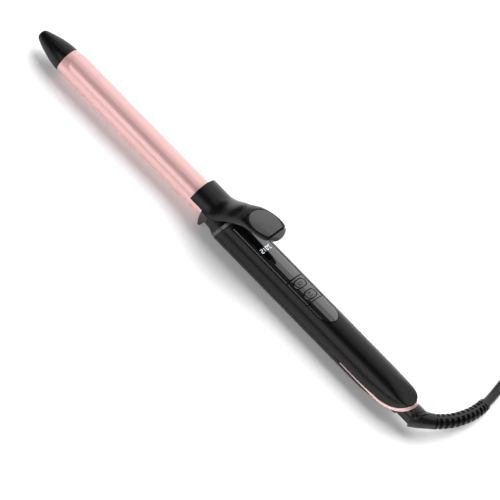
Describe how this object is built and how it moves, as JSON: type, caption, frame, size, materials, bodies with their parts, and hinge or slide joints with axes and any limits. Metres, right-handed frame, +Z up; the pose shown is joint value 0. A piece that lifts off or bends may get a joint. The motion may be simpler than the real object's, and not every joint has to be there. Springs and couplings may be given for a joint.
{
  "type": "curling iron",
  "caption": "Corded curling tong: rose-coated barrel with sprung clip and thumb lever, black cool tip, slim handle with glossy lit panel, swivel lead.",
  "frame": {"origin": "on the surface the iron rests on, under the middle of its length from the cool tip to the back of the swivel", "axes": "+X along the barrel from the cool tip to the swivel, +Z up through the thumb lever and panel, +Y to the side the lead turns to"},
  "size_m": [0.5322, 0.1328, 0.0491],
  "materials": {
    "black_satin": "fine satin moulding",
    "rose_coating": "satin rose ceramic coating",
    "rose_trim": "satin rose plated trim",
    "lever_satin": "satin black",
    "pad_gloss": "polished black",
    "ring_sheen": "semi-gloss black bevel",
    "panel_gloss": "piano black lens",
    "button_satin": "semi-gloss black with faint grey icons",
    "swivel_gloss": "polished black",
    "lead_rubber": "satin black flexible PVC",
    "plug_black": "moulded black",
    "pin_nickel": "nickel plated",
    "black_steel": "black coated sheet steel",
    "bare_steel": "zinc plated",
    "cast_alloy": "as extruded",
    "insulator": "pale ceramic",
    "wire_sleeve": "silicone sleeve",
    "board_green": "solder mask",
    "contact_brass": "bare",
    "tie_fabric": "hook and loop strap"
  },
  "bodies": {
    "handle": {"cool_tip": "black_satin", "tip_disc": "insulator", "barrel_tube": "rose_coating", "heat_spreader_upper": "cast_alloy", "heat_spreader_lower": "cast_alloy", "ceramic_heater": "insulator", "thermistor": "wire_sleeve", "thermal_fuse": "bare_steel", "nose_cone": "black_satin", "hinge_bracket": "black_steel", "hinge_pin": "bare_steel", "torsion_spring": "bare_steel", "collar_ring": "ring_sheen", "upper_shell": "black_satin", "lower_shell": "black_satin", "shell_screws": "bare_steel", "trim_band": "rose_trim", "panel_lens": "panel_gloss", "button_frame": "panel_gloss", "display_module": "panel_gloss", "circuit_board": "board_green", "board_screws": "bare_steel", "button_switches": "black_satin", "heater_leads": "wire_sleeve", "mains_leads": "wire_sleeve", "brush_contacts": "contact_brass"},
    "clip": {"clip_plate": "rose_coating", "clip_screws": "bare_steel", "thumb_lever": "lever_satin", "thumb_pad": "pad_gloss", "lever_end_cap": "pad_gloss"},
    "power_button": {"power_button": "button_satin"},
    "heat_button": {"heat_button": "button_satin"},
    "swivel": {"swivel_barrel": "swivel_gloss", "slip_rings": "contact_brass", "strain_relief": "lead_rubber", "power_cord": "lead_rubber", "cord_coil": "lead_rubber", "cord_tail": "lead_rubber", "cord_tie": "tie_fabric", "plug_body": "plug_black", "plug_relief": "lead_rubber", "plug_pins": "pin_nickel"}
  },
  "joints": [
    {"name": "clip_hinge", "type": "hinge", "parent": "handle", "child": "clip", "pos_m": [-0.00757, 0, 0.0261], "axis": [0, 1, 0], "range_deg": [0, 23], "stiffness_Nm_per_rad": 0.15, "springref_deg": -28.65, "deforming": ["torsion_spring"]},
    {"name": "power_press", "type": "slide", "parent": "handle", "child": "power_button", "axis": [0, 0, -1], "range_m": [0, 0.0008], "stiffness_N_per_m": 300, "springref_m": -0.0005},
    {"name": "heat_press", "type": "slide", "parent": "handle", "child": "heat_button", "axis": [0, 0, -1], "range_m": [0, 0.0008], "stiffness_N_per_m": 300, "springref_m": -0.0005},
    {"name": "cord_swivel", "type": "hinge", "parent": "handle", "child": "swivel", "pos_m": [0.16343, 0, 0.0129], "axis": [1, 0, 0], "continuous": true}
  ]
}
